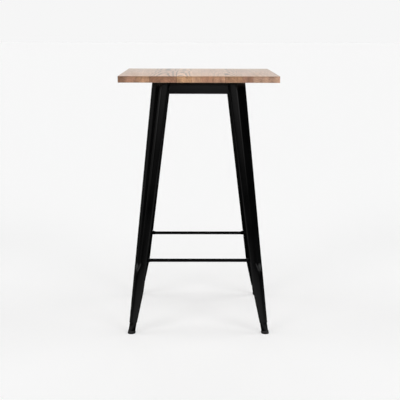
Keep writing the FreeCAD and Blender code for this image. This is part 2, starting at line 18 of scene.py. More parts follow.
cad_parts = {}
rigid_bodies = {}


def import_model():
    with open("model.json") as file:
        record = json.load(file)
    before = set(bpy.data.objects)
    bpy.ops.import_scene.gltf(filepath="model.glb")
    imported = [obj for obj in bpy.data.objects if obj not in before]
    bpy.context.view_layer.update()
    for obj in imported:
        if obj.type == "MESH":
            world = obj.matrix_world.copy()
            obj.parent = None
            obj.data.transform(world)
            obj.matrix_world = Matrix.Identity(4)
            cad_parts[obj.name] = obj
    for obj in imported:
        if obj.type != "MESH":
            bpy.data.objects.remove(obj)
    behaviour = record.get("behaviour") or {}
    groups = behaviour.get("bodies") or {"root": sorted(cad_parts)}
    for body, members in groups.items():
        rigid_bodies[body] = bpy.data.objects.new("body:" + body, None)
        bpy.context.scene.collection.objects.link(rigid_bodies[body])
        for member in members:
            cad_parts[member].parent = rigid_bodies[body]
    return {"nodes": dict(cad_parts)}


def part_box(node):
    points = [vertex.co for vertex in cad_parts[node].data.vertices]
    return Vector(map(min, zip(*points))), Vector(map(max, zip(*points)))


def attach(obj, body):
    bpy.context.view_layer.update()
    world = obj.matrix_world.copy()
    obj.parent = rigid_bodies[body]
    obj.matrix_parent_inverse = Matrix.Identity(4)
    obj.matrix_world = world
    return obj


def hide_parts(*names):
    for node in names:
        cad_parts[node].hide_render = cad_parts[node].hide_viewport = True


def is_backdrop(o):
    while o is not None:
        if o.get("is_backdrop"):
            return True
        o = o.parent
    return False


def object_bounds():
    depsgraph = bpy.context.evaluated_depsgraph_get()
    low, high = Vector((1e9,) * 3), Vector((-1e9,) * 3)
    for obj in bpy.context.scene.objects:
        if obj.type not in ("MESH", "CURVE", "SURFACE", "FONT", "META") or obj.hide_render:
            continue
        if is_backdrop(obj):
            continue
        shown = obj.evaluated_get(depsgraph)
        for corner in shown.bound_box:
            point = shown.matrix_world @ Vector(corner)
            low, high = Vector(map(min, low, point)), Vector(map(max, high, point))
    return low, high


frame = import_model()
cad_low, cad_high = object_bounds()
print("CAD box, metres:", [round(value, 4) for value in (*cad_low, *cad_high)])
print("CAD nodes:", len(frame["nodes"]))

# %% [markdown]
# ## Camera
# A product photograph is taken from far away with a long lens, so that the legs don't seem to lean. The
# lens and the place of this camera come from the photograph: the corners of the top give two vanishing
# points, and the known height of the table sets the distance. The camera looks eleven degrees down on the
# table, from a little left of its middle.
#
# A camera looks along its own -Z. Its turn can be set with Euler angles, but three axes in a matrix are
# easier to follow here: right, up and back.

# %% Camera at the photograph's angle
SENSOR_WIDTH = 36.0
FOCAL_PIXELS = 913.1
IMAGE_PIXELS = 400
CAMERA_PLACE = Vector((-0.0191, -3.6931, 1.1916))
CAMERA_YAW = -0.0071
CAMERA_PITCH = 0.1896
CAMERA_ROLL = 0.0025

level_right = Vector((math.cos(CAMERA_YAW), math.sin(CAMERA_YAW), 0))
forward = Vector((
    -math.sin(CAMERA_YAW) * math.cos(CAMERA_PITCH),
    math.cos(CAMERA_YAW) * math.cos(CAMERA_PITCH),
    -math.sin(CAMERA_PITCH),
))
right = Matrix.Rotation(-CAMERA_ROLL, 3, forward) @ level_right
up = right.cross(forward)

camera_data = bpy.data.cameras.new("camera")
camera_data.sensor_width = SENSOR_WIDTH
camera_data.lens = SENSOR_WIDTH * FOCAL_PIXELS / IMAGE_PIXELS
camera = bpy.data.objects.new("camera", camera_data)
bpy.context.scene.collection.objects.link(camera)
axes = Matrix((right, up, -forward)).transposed()
camera.matrix_world = Matrix.Translation(CAMERA_PLACE) @ axes.to_4x4()
bpy.context.scene.camera = camera
distance = (CAMERA_PLACE - (cad_low + cad_high) / 2).length
print(f"lens {camera_data.lens:.1f} mm, {distance:.2f} m from the middle of the table")

# %% [markdown]
# ## Helpers for materials
# A material is a small network of nodes. Every finish below starts in the same way: an empty node tree
# with a Principled shader. The helper adds a node and sets its input values by name, and a second one
# links two sockets.
#
# All patterns read Object coordinates. The pieces sit at the origin and have their place in their mesh,
# so these are metres in the table's own frame, and a pattern stays the same size on every piece.

# %% Node helpers
MM = 0.001


def new_finish(name):
    """A material with only a Principled shader and its output, returned with its tree and its shader."""
    material = bpy.data.materials.new(name)
    material.use_nodes = True
    tree = material.node_tree
    return material, tree, tree.nodes["Principled BSDF"]


def add_node(tree, kind, values=None, **settings):
    """A new node with its settings and its unlinked input values."""
    node = tree.nodes.new(kind)
    for key, value in settings.items():
        setattr(node, key, value)
    for key, value in (values or {}).items():
        node.inputs[key].default_value = value
    return node


def join(tree, source, output, target, socket):
    """Link an output of one node to an input of another."""
    tree.links.new(source.outputs[output], target.inputs[socket])


def stretched_coordinates(tree, scale, location=(0, 0, 0), rotation=(0, 0, 0)):
    """Object coordinates through a Mapping node."""
    coordinates = add_node(tree, "ShaderNodeTexCoord")
    mapping = add_node(tree, "ShaderNodeMapping",
                       {"Location": location, "Rotation": rotation, "Scale": scale})
    join(tree, coordinates, "Object", mapping, "Vector")
    return mapping


def noise_on(tree, mapping, scale, detail=3.0, roughness=0.5):
    """Noise texture that reads a Mapping node."""
    noise = add_node(tree, "ShaderNodeTexNoise",
                     {"Scale": scale, "Detail": detail, "Roughness": roughness})
    join(tree, mapping, "Vector", noise, "Vector")
    return noise


def ranged(tree, source, output, low, high, from_low=0.3, from_high=0.7):
    """Map a texture's middle range onto low to high."""
    node = add_node(tree, "ShaderNodeMapRange",
                    {"From Min": from_low, "From Max": from_high, "To Min": low, "To Max": high})
    join(tree, source, output, node, "Value")
    return node


def ramp_on(tree, source, output, stops):
    """Colour ramp over a texture, from (position, colour) stops in rising order."""
    ramp = add_node(tree, "ShaderNodeValToRGB")
    elements = ramp.color_ramp.elements
    elements[0].position, elements[1].position = stops[0][0], stops[-1][0]
    elements[0].color, elements[1].color = (*stops[0][1], 1), (*stops[-1][1], 1)
    for position, colour in stops[1:-1]:
        elements.new(position).color = (*colour, 1)
    join(tree, source, output, ramp, "Fac")
    return ramp


def mixed(first, second, share):
    """Tone between two tones."""
    return tuple((1 - share) * a + share * b for a, b in zip(first, second))


def combined(tree, first, second, operation="MULTIPLY"):
    """Math node over two nodes' first outputs, which multiplies them unless told otherwise."""
    node = add_node(tree, "ShaderNodeMath", operation=operation)
    tree.links.new(first.outputs[0], node.inputs[0])
    tree.links.new(second.outputs[0], node.inputs[1])
    return node


def bump_from(tree, shader, source, output, strength, distance):
    """Bump from a texture, into the shader's normal."""
    bump = add_node(tree, "ShaderNodeBump", {"Strength": strength, "Distance": distance})
    join(tree, source, output, bump, "Height")
    join(tree, bump, "Normal", shader, "Normal")


print("node helpers ready")

# %% [markdown]
# ## Oiled hardwood
# The top is glued up from ten staves, each from another board, so each has its own tone and its own
# growth rings. A picture of wood could be laid over the top, but it would break at the edges. Wood is a
# solid material: the rings are long cones around the heart of the tree, and a board is a slice through
# them. So the Wave texture draws rings around the heart of each stave's tree. Where the slice meets them
# lengthwise they show as streaks and pointed arches, and on the sawn ends as arcs, all from one pattern.
#
# Two colour ramps read the same rings. The long grain is pale, with dark lines of late wood. The sawn
# ends soak up more of the oiled finish, so they are much darker and blotchy, and darker still just under
# the upper edge. Towards the left end they are painted darker as shade, where the corner turns away from
# the light. The right end is paler, and the glue lines are dark. The facing of the surface chooses
# between the two ramps. Streaks and pores, two noises stretched along the board, darken both.
#
# From above one looks into the wood, which is a warm brown. Along the surface its fine cut fibres catch
# the light and it looks pale. That is a sheen, and the shader has its own lobe for it, so no node has to
# know the view.

# %% Wood finish
ARC_DARK, ARC_LIGHT = 0.66, 1.15
BLOTCH_DARK, BLOTCH_LIGHT = 0.58, 1.4
BLOTCH_TURN = 0.6
# the sawn ends get darker just under the upper edge, over the top few millimetres
UPPER_EDGE_DARK = 0.2
UPPER_EDGE_FADE, UPPER_EDGE_DEPTH = 8 * MM, 3 * MM
GLUE_DARK = 0.4
GLUE_REACH = 1.4 * MM
# painted shade: the sawn ends get darker towards the left end, where the corner turns away from the light
LEFT_END_SHADE = 0.4
FULL_SHADE_WIDTH = 6 * MM
PALE_END = 0.18
PALE_WIDTH = 18 * MM
END_WIDTH = 38 * MM
PORE_DEPTH = 0.3 * MM
WOOD_SHINE = 0.12
SHEEN_WEIGHT = 0.42
SHEEN_ROUGHNESS = 0.36
SHEEN_TINT = (1, 0.97, 0.95, 1)


def sawn_tone(tree, rings, sawn_end, low, high):
    """Sawn ends: rings, oily blotches, dark glue, a darker upper edge, painted shade at the left end."""
    arcs = ramp_on(tree, rings, "Fac", [
        (0.0, tuple(ARC_DARK * value for value in sawn_end)),
        (0.3, sawn_end),
        (0.7, sawn_end),
        (1.0, tuple(ARC_LIGHT * value for value in sawn_end)),
    ])
    lie = stretched_coordinates(tree, (1, 0.02, 0.6), rotation=(0, BLOTCH_TURN, 0))
    blotches = noise_on(tree, lie, 45.0, 4.0, 0.6)
    place = add_node(tree, "ShaderNodeSeparateXYZ")
    join(tree, stretched_coordinates(tree, (1, 1, 1)), "Vector", place, "Vector")
    # darker just under the upper edge
    darker_under_edge = ranged(tree, place, "Z", 1.0, 1.0 - UPPER_EDGE_DARK, high.z - UPPER_EDGE_FADE, high.z - UPPER_EDGE_DEPTH)
    glue_left = ranged(tree, place, "X", GLUE_DARK, 1.0, low.x, low.x + GLUE_REACH)
    glue_right = ranged(tree, place, "X", 1.0, GLUE_DARK, high.x - GLUE_REACH, high.x)
    # painted shade, darker towards the left end
    painted_end_shade = ranged(tree, place, "X", 1.0 - LEFT_END_SHADE, 1.0,
                   cad_low.x + FULL_SHADE_WIDTH, cad_low.x + END_WIDTH)
    pale = ranged(tree, place, "X", 1.0, 1.0 + PALE_END,
                  cad_high.x - END_WIDTH, cad_high.x - PALE_WIDTH)
    share = ranged(tree, blotches, "Fac", BLOTCH_DARK, BLOTCH_LIGHT)
    for part in (darker_under_edge, painted_end_shade, pale, glue_left, glue_right):
        share = combined(tree, share, part)
    tone = add_node(tree, "ShaderNodeVectorMath", operation="SCALE")
    tree.links.new(arcs.outputs["Color"], tone.inputs[0])
    join(tree, share, "Value", tone, "Scale")
    return tone


def oiled_wood(name, long_grain, late_wood, sawn_end, heart, lean, ring_gap, low, high):
    """Wood of one stave: its tones, the heart in x and z, its lean, a ring's width, the stave's box."""
    material, tree, shader = new_finish(name)
    rings_at = stretched_coordinates(tree, (1, 1, 1), (-heart[0], 0, -heart[1]), (lean[0], 0, lean[1]))
    rings = add_node(tree, "ShaderNodeTexWave", {
        "Scale": math.pi / (10 * ring_gap),
        "Distortion": 7.0,
        "Detail": 2.0,
        "Detail Scale": ring_gap * 24,
        "Detail Roughness": 0.55,
    }, wave_type="RINGS", rings_direction="Y", wave_profile="SAW")
    join(tree, rings_at, "Vector", rings, "Vector")
    half_tone = mixed(long_grain, late_wood, 0.5)
    along = ramp_on(tree, rings, "Fac", [
        (0.0, late_wood),
        (0.18, late_wood),
        (0.36, long_grain),
        (0.85, long_grain),
        (1.0, half_tone),
    ])

    geometry = add_node(tree, "ShaderNodeNewGeometry")
    facing = add_node(tree, "ShaderNodeSeparateXYZ")
    join(tree, geometry, "True Normal", facing, "Vector")
    end_facing = add_node(tree, "ShaderNodeMath", operation="ABSOLUTE")
    join(tree, facing, "Y", end_facing, 0)
    sawn = ranged(tree, end_facing, "Value", 0.0, 1.0, 0.35, 0.85)
    tone = add_node(tree, "ShaderNodeMix", data_type="RGBA")
    join(tree, sawn, "Result", tone, 0)
    tree.links.new(along.outputs["Color"], tone.inputs[6])
    tree.links.new(sawn_tone(tree, rings, sawn_end, low, high).outputs["Vector"], tone.inputs[7])

    streaks = noise_on(tree, stretched_coordinates(tree, (1, 0.03, 1)), 150.0, 4.0)
    pores = noise_on(tree, stretched_coordinates(tree, (1, 0.02, 1)), 900.0, 2.0)
    dark_pores = ranged(tree, pores, "Fac", 0.8, 1.05, 0.36, 0.52)
    drift = combined(tree, ranged(tree, streaks, "Fac", 0.88, 1.1), dark_pores)
    colour = add_node(tree, "ShaderNodeVectorMath", operation="SCALE")
    tree.links.new(tone.outputs[2], colour.inputs[0])
    join(tree, drift, "Value", colour, "Scale")
    join(tree, colour, "Vector", shader, "Base Color")

    satin = ranged(tree, pores, "Fac", 0.5, 0.38)
    join(tree, satin, "Result", shader, "Roughness")
    shader.inputs["Specular IOR Level"].default_value = WOOD_SHINE
    shader.inputs["Sheen Weight"].default_value = SHEEN_WEIGHT
    shader.inputs["Sheen Roughness"].default_value = SHEEN_ROUGHNESS
    shader.inputs["Sheen Tint"].default_value = SHEEN_TINT
    bump_from(tree, shader, pores, "Fac", 0.2, PORE_DEPTH)
    return material


print("wood finish ready")

# %% [markdown]
# ## Powder coat, rubber and zinc
# The steel is black with a satin powder coat, and so are the bolts and nuts of the frame. Powder melts
# into a skin that is never quite flat: it has the fine dimples of orange peel and a gloss that drifts
# from place to place. Both come from noise, one into the bump and one into the roughness. On the thin
# rungs the coat is duller, because powder settles unevenly on a bar, so the same helper makes a second
# coat with less shine.
#
# Rubber is rougher and a little grey from dust. The screws under the top and their washers are zinc
# plated: a metal with a grain of its own and a faint blue and yellow drift in the plating.

# %% Metal and rubber finishes
COAT_SHINE, RUNG_SHINE, RUBBER_SHINE = 0.2, 0.06, 0.3
PEEL_DEPTH = 0.2 * MM
GRIT_DEPTH = 0.1 * MM
PLATING_DEPTH = 0.1 * MM


def powder_coat(name, shine):
    """Satin black paint on steel, with more or less shine."""
    material, tree, shader = new_finish(name)
    plain = stretched_coordinates(tree, (1, 1, 1))
    drift = noise_on(tree, plain, 9.0, 4.0)
    shade = ramp_on(tree, drift, "Fac", [
        (0.3, (0.0006, 0.0006, 0.0007)),
        (0.7, (0.0012, 0.0012, 0.0013)),
    ])
    join(tree, shade, "Color", shader, "Base Color")
    gloss = ranged(tree, drift, "Fac", 0.12, 0.16)
    join(tree, gloss, "Result", shader, "Roughness")
    shader.inputs["Specular IOR Level"].default_value = shine
    peel = noise_on(tree, plain, 700.0, 2.0)
    bump_from(tree, shader, peel, "Fac", 0.12, PEEL_DEPTH)
    return material


def foot_rubber():
    """Dull black rubber with a little dust."""
    material, tree, shader = new_finish("black_rubber")
    plain = stretched_coordinates(tree, (1, 1, 1))
    dust = noise_on(tree, plain, 60.0, 5.0, 0.65)
    shade = ramp_on(tree, dust, "Fac", [(0.35, (0.004, 0.004, 0.004)), (0.75, (0.011, 0.0105, 0.010))])
    join(tree, shade, "Color", shader, "Base Color")
    matt = ranged(tree, dust, "Fac", 0.62, 0.8)
    join(tree, matt, "Result", shader, "Roughness")
    shader.inputs["Specular IOR Level"].default_value = RUBBER_SHINE
    grit = noise_on(tree, plain, 1500.0, 2.0)
    bump_from(tree, shader, grit, "Fac", 0.2, GRIT_DEPTH)
    return material


def zinc_plate():
    """Zinc-plated steel of screws and washers."""
    material, tree, shader = new_finish("zinc_plated_steel")
    plain = stretched_coordinates(tree, (1, 1, 1))
    spangle = add_node(tree, "ShaderNodeTexVoronoi", {"Scale": 900.0})
    join(tree, plain, "Vector", spangle, "Vector")
    drift = noise_on(tree, plain, 120.0, 3.0)
    shade = ramp_on(tree, drift, "Fac", [(0.35, (0.46, 0.48, 0.52)), (0.65, (0.62, 0.60, 0.53))])
    join(tree, shade, "Color", shader, "Base Color")
    shader.inputs["Metallic"].default_value = 1.0
    gloss = ranged(tree, spangle, "Distance", 0.28, 0.42, 0.0, 0.8)
    join(tree, gloss, "Result", shader, "Roughness")
    bump_from(tree, shader, drift, "Fac", 0.1, PLATING_DEPTH)
    return material


coat = powder_coat("black_powder_coat", COAT_SHINE)
rung_coat = powder_coat("dull_powder_coat", RUNG_SHINE)
rubber = foot_rubber()
zinc = zinc_plate()
print("finishes:", coat.name, rung_coat.name, rubber.name, zinc.name)

# %% [markdown]
# ## From a bmesh to a piece
# Each piece is modelled in a bmesh, Blender's own mesh for editing. When it is done it becomes an object
# at the origin, with smooth shading broken only at real edges. It rides on the table's one body, it gets
# its finish, and it stands for the CAD nodes that it replaces, which are hidden.
#
# The base is the same on all four sides, so a leg, rail, rung or foot is made once, at the front or the
# front left corner, and copied in quarter turns.

# %% Piece helpers
TINY = 1e-6
SHARP_ANGLE = math.radians(38)
EDGE_ANGLE = math.radians(60)
CORNERS = ["front_left", "front_right", "back_right", "back_left"]
SIDES = ["front", "right", "back", "left"]
QUARTER = math.pi / 2


def add_piece(bm, name, material, slot, *nodes):
    """Close a bmesh as a piece that rides on the root body and replaces the CAD nodes."""
    bmesh.ops.dissolve_degenerate(bm, dist=TINY, edges=bm.edges)
    mesh = bpy.data.meshes.new(name)
    bm.to_mesh(mesh)
    bm.free()
    mesh.shade_smooth()
    mesh.set_sharp_from_angle(angle=SHARP_ANGLE)
    mesh.materials.append(material)
    piece = bpy.data.objects.new(name, mesh)
    bpy.context.scene.collection.objects.link(piece)
    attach(piece, "root")
    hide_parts(*nodes)


def add_quarters(bm, piece_name, places, material, slot, node_name):
    """Four copies of a bmesh, turned about the middle of the table, one for each place."""
    for index, place in enumerate(places):
        turned = bm.copy()
        turn = Matrix.Rotation(index * QUARTER, 3, "Z")
        bmesh.ops.rotate(turned, verts=turned.verts, cent=(0, 0, 0), matrix=turn)
        add_piece(turned, f"{piece_name}_{place}", material, slot, f"{node_name}_{place}")
    print(f"four pieces {piece_name}, {len(bm.faces)} faces each")
    bm.free()


def soften(bm, edges, width, segments=2):
    """Bevel edges with a small round."""
    bmesh.ops.bevel(bm, geom=edges, offset=width, offset_type="OFFSET", affect="EDGES", segments=segments,
                    profile=0.5, material=-1)


def sharp_edges(bm):
    """Edges that no bend has rounded, which are the ones to bevel."""
    return [edge for edge in bm.edges if edge.is_manifold and edge.calc_face_angle() > EDGE_ANGLE]


# %% [markdown]
# ## The wooden top
# A board could stay a plain box, but light shows an edge by the small round that sanding leaves on it.
# Each stave starts as a cube that is scaled to its CAD box, and its edges are bevelled in turn. Those
# along a glue line get a very small bevel, so that the joint shows as a hairline. Those on the outside of
# the top get a round, small above and larger below, where hands and knees meet the top.

# %% Shape of a stave
GLUE_LINE = 0.25 * MM
UPPER_ARRIS = 1.2 * MM
LOWER_ARRIS = 3.0 * MM
NEAR = 1e-5


def stave_mesh(low, high, outer_low, outer_high):
    """Board between two corners, eased where it meets its neighbours and rounded on the outside."""
    bm = bmesh.new()
    bmesh.ops.create_cube(bm, size=1.0)
    bmesh.ops.scale(bm, verts=bm.verts, vec=high - low)
    bmesh.ops.translate(bm, verts=bm.verts, vec=(low + high) / 2)

    def on_outside(vert):
        return vert.co.x < outer_low + NEAR or vert.co.x > outer_high - NEAR

    def glue_edge(edge):
        a, b = edge.verts
        return abs(a.co.y - b.co.y) > NEAR and not (on_outside(a) and on_outside(b))

    def outside_edge(edge, z):
        a, b = edge.verts
        at_end = abs(a.co.y - b.co.y) < NEAR and abs(abs(a.co.y) - high.y) < NEAR
        level = max(abs(a.co.z - z), abs(b.co.z - z)) < (high.z - low.z) / 4
        return level and (at_end or (on_outside(a) and on_outside(b)))

    soften(bm, [edge for edge in bm.edges if glue_edge(edge)], GLUE_LINE, 1)
    upright = [edge for edge in bm.edges if all(on_outside(v) for v in edge.verts)
               and abs(edge.verts[0].co.z - edge.verts[1].co.z) > (high.z - low.z) / 2]
    soften(bm, upright, UPPER_ARRIS, 3)
    soften(bm, [edge for edge in bm.edges if outside_edge(edge, high.z)], UPPER_ARRIS, 3)
    soften(bm, [edge for edge in bm.edges if outside_edge(edge, low.z)], LOWER_ARRIS, 4)
    return bm


print("top from", round(cad_low.x, 3), "to", round(cad_high.x, 3), "m, left to right")

# %% [markdown]
# ## Ten boards, ten tones
# The sawn ends on the front edge show that no two boards came from the same plank: each has a brown of
# its own. On the faces the tones come closer together, so each long grain is a blend of its own brown and
# one pale tone. Some boards are flat-sawn, with bold arches: their heart lies just under the stave. The
# others have a heart far to the side, which gives fine straight lines.

# %% Staves
PALE_FACE = (0.61, 0.46, 0.345)
LATE_LINE = (0.115, 0.075, 0.05)
OWN_SHARE = 0.62
BOLD_LIFT = 0.25

# sawn tone, share of the dark lines, heart beside the stave in x and z, lean about x and z, ring width
STAVE_WOOD = [
    ((0.274, 0.153, 0.099), 0.25, (0.030, -0.090), (0.012, 0.02), 6.0 * MM),
    ((0.334, 0.191, 0.116), 0.3, (-0.120, -0.030), (0.010, -0.03), 5.0 * MM),
    ((0.226, 0.119, 0.073), 1.0, (0.004, -0.036), (0.030, 0.01), 9.0 * MM),
    ((0.379, 0.217, 0.119), 0.9, (-0.006, -0.030), (0.034, 0.02), 8.0 * MM),
    ((0.430, 0.251, 0.153), 0.25, (0.140, -0.040), (0.008, 0.01), 5.0 * MM),
    ((0.374, 0.201, 0.126), 0.3, (0.090, -0.060), (0.012, -0.02), 5.5 * MM),
    ((0.335, 0.187, 0.118), 0.4, (0.018, -0.040), (0.028, 0.00), 7.0 * MM),
    ((0.289, 0.163, 0.097), 0.9, (-0.024, -0.034), (0.032, -0.02), 8.0 * MM),
    ((0.279, 0.152, 0.101), 0.35, (0.110, -0.020), (0.010, 0.02), 6.0 * MM),
    ((0.322, 0.202, 0.141), 0.3, (-0.070, -0.140), (0.010, 0.01), 7.0 * MM),
]

for number, (sawn, boldness, heart, lean, ring_gap) in enumerate(STAVE_WOOD, start=1):
    node = f"top_stave_{number:02d}"
    low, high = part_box(node)
    middle = (low + high) / 2
    heart_at = (middle.x + heart[0], middle.z + heart[1])
    lift = 1 + BOLD_LIFT * boldness
    face_tone = [lift * value for value in mixed(PALE_FACE, sawn, OWN_SHARE)]
    wood = oiled_wood(f"oiled_hardwood_{number:02d}", face_tone, mixed(face_tone, LATE_LINE, boldness),
                      sawn, heart_at, lean, ring_gap, low, high)
    board = stave_mesh(low, high, cad_low.x, cad_high.x)
    add_piece(board, f"stave_{number:02d}", wood, "oiled_hardwood", node)
print("staves:", len(STAVE_WOOD), "top at", round(high.z, 4))

# %% [markdown]
# ## Shape of the splayed base
# The base is drawn from a few sizes: how high it is, how far apart the outer leg corners are under the
# top and at the floor, and how wide a leg's two flanges are on the way down. A leg tapers slowly to the
# ankle and faster from there to its end. The widths are read from a short table with numpy, and averaged
# over a few centimetres, because a pressing has no sudden corner at the ankle.

# %% Base sizes
BASE_HEIGHT = 981 * MM
FRAME_WIDTH = 359 * MM
FOOT_SPAN = 550.5 * MM
SPLAY = (FOOT_SPAN - FRAME_WIDTH) / 2 / BASE_HEIGHT
LEG_SHEET = 1.5 * MM
LEG_END = 44 * MM
ANKLE_HEIGHT = 167 * MM
LEG_LEVELS = [LEG_END, ANKLE_HEIGHT, BASE_HEIGHT]
FLANGE_WIDTHS = [30.4 * MM, 44.8 * MM, 67 * MM]
ANKLE_SPREAD = np.linspace(-14, 14, 9) * MM
INWARD = Vector((0, 1, -SPLAY)).normalized()
UPWARD = Vector((0, SPLAY, 1)).normalized()
LEAN = math.atan(SPLAY)


def corner(z):
    """Half the stance over the outer leg corners at height z."""
    return FRAME_WIDTH / 2 + SPLAY * (BASE_HEIGHT - z)


def flange_width(z):
    """Width of a leg flange at height z, with a softened ankle."""
    spread = ANKLE_SPREAD if abs(z - ANKLE_HEIGHT) < ANKLE_SPREAD[-1] else [0.0]
    return float(np.mean(np.interp(z + np.array(spread), LEG_LEVELS, FLANGE_WIDTHS)))


print(f"splay {math.degrees(LEAN):.1f} degrees, ankle {flange_width(ANKLE_HEIGHT) / MM:.1f} mm wide")

# %% [markdown]
# ## The pressed legs
# A leg is one strip of sheet, pressed to an angle. Its outer corner is a flute between two rounded
# ridges, its inner edges are turned in to stiff lips, and the flute runs out in a spoon-shaped end below
# the rungs.
#
# The section is walked like a strip through a press brake: a straight move extrudes the last vertex, and
# a bend spins it about a centre. The same walk at each level gives outlines with the same number of
# points, and bridging them two by two makes the skin. Where a rung goes in, a few faces of the lip's bend
# are taken out for its slot. At last the skin gets the sheet's thickness, and a small bevel on the raw
# edges.

# %% Walking an outline
Z_AXIS = Vector((0, 0, 1))


def straight_to(bm, vert, spot):
    """Extrude the end of an outline straight to a spot."""
    new = bmesh.ops.extrude_vert_indiv(bm, verts=[vert])["verts"][0]
    bmesh.ops.translate(bm, verts=[new], vec=spot - new.co)
    return new


def bend_about(bm, vert, centre, angle, steps, axis=Z_AXIS):
    """Spin the end of an outline about a centre, as a bend of the sheet."""
    spun = bmesh.ops.spin(bm, geom=[vert], cent=centre, axis=axis, angle=angle, steps=steps)
    return next(item for item in spun["geom_last"] if isinstance(item, bmesh.types.BMVert))


print("outline helpers ready")

# %% Section of a leg
LIP_BEND = 6 * MM
LIP_DEPTHS = [12 * MM, 22 * MM]
FLUTE_HEIGHT = 280 * MM
FLUTE_RUNOUT = 33 * MM
FLUTE_END = FLUTE_HEIGHT - FLUTE_RUNOUT
RUNOUT_CURVE = 1.2
RIDGE_STARTS = [31 * MM, 44 * MM]
RIDGE_RADIUS = 18 * MM
FLUTE_TURN = math.radians(55)
ROUND_CORNERS = [13 * MM, 20 * MM]
ROUND_TURN = math.radians(30)
SLOT_DEPTH = 8.3 * MM
BEND_STEPS, RIDGE_STEPS, FLUTE_STEPS = 6, 8, 12


def corner_form(z):
    """Ridge start, ridge radius and ridge turn of the outer corner at height z."""
    plain = float(np.interp(z, [LEG_END, FLUTE_END], ROUND_CORNERS))
    fluted = float(np.interp(z, [FLUTE_HEIGHT, BASE_HEIGHT], RIDGE_STARTS))
    below = min(max(FLUTE_HEIGHT - z, 0) / FLUTE_RUNOUT, 1)
    share = 1 - below ** RUNOUT_CURVE
    start = plain + share * (fluted - plain)
    radius = plain + share * (RIDGE_RADIUS - plain)
    return start, radius, ROUND_TURN + share * (FLUTE_TURN - ROUND_TURN)


def leg_outline(bm, z):
    """Walk the outer skin of the front left leg at height z, and return the outline's edges."""
    width = flange_width(z)
    lip = float(np.interp(z, [LEG_END, BASE_HEIGHT], LIP_DEPTHS))
    start, ridge, turn = corner_form(z)
    reach = (start - ridge) / (math.sin(turn) - math.cos(turn))
    far_centre = start - reach * math.sin(turn), ridge - reach * math.cos(turn)

    def spot(along, inward):
        return Vector((along - corner(z), inward - corner(z), z))

    known = set(bm.edges)
    end = bm.verts.new(spot(width, lip))
    end = straight_to(bm, end, spot(width, SLOT_DEPTH))
    end = straight_to(bm, end, spot(width, LIP_BEND))
    end = bend_about(bm, end, spot(width - LIP_BEND, LIP_BEND), -QUARTER, BEND_STEPS)
    end = straight_to(bm, end, spot(start, 0))
    end = bend_about(bm, end, spot(start, ridge), -turn, RIDGE_STEPS)
    end = bend_about(bm, end, spot(*far_centre), 2 * turn - QUARTER, FLUTE_STEPS)
    end = bend_about(bm, end, spot(ridge, start), -turn, RIDGE_STEPS)
    end = straight_to(bm, end, spot(0, width - LIP_BEND))
    end = bend_about(bm, end, spot(LIP_BEND, width - LIP_BEND), -QUARTER, BEND_STEPS)
    end = straight_to(bm, end, spot(SLOT_DEPTH, width))
    straight_to(bm, end, spot(lip, width))
    return [edge for edge in bm.edges if edge not in known]


bm = bmesh.new()
print("points round a leg:", len(leg_outline(bm, BASE_HEIGHT)) + 1)
bm.free()

# %% One leg, then four
RUNG_HEIGHT = 290 * MM
SLOT_REACH = 9.3 * MM
SLOT_FRONT = 0.6 * MM
RUNOUT_STEPS = 12
SHANK_LEVELS = [900 * MM, 700 * MM, 500 * MM, 380 * MM]
SHIN_LEVEL = 210 * MM
SPOON_LEVEL = 100 * MM
ANKLE_ROWS = 1.2 * ANKLE_SPREAD
END_ROW = 1.2 * MM
RAW_EDGE = 0.35 * MM


def leg_heights():
    """Levels of the outlines, close together where the leg changes shape."""
    heights = [BASE_HEIGHT, BASE_HEIGHT - END_ROW, *SHANK_LEVELS]
    heights += [RUNG_HEIGHT + SLOT_REACH, RUNG_HEIGHT - SLOT_REACH]
    for step in range(RUNOUT_STEPS + 1):
        heights.append(FLUTE_HEIGHT - FLUTE_RUNOUT * step / RUNOUT_STEPS)
    heights += [SHIN_LEVEL, *(ANKLE_HEIGHT - ANKLE_ROWS), SPOON_LEVEL, LEG_END + END_ROW, LEG_END]
    return heights


def in_slot(face):
    """True for the faces of a lip where a rung end goes in."""
    middle = face.calc_center_median()
    if abs(middle.z - RUNG_HEIGHT) > SLOT_REACH:
        return False
    along, inward = middle.x + corner(middle.z), middle.y + corner(middle.z)
    if inward > along:
        along, inward = inward, along
    return along > flange_width(middle.z) - LIP_BEND and SLOT_FRONT < inward < SLOT_DEPTH


def leg_mesh():
    """Pressed front left leg."""
    bm = bmesh.new()
    outlines = [leg_outline(bm, z) for z in leg_heights()]
    for upper, lower in zip(outlines, outlines[1:]):
        bmesh.ops.bridge_loops(bm, edges=upper + lower)
    bmesh.ops.recalc_face_normals(bm, faces=bm.faces)
    outside = min(bm.faces, key=lambda face: face.calc_center_median().y)
    if outside.normal.y > 0:
        bmesh.ops.reverse_faces(bm, faces=bm.faces)
    bmesh.ops.delete(bm, geom=[face for face in bm.faces if in_slot(face)], context="FACES")
    bmesh.ops.solidify(bm, geom=bm.faces, thickness=LEG_SHEET)
    soften(bm, sharp_edges(bm), RAW_EDGE)
    return bm


add_quarters(leg_mesh(), "pressed_leg", CORNERS, coat, "black_powder_coat", "leg")

# %% [markdown]
# ## The apron rails
# A rail is a strip of sheet that is folded four times: a top flange for the screws, a bottom lip that
# makes it stiff, and a tab at each end that is bolted to a leg. It could be cut from a solid channel, but
# folding gives the rounds of real bends for free. The web is a small grid. Each fold spins one of its
# edges about the bend and then extrudes it as a flat flap. The grid has a short row above and below the
# tabs, which leaves the notches that a folded sheet needs at its corners.

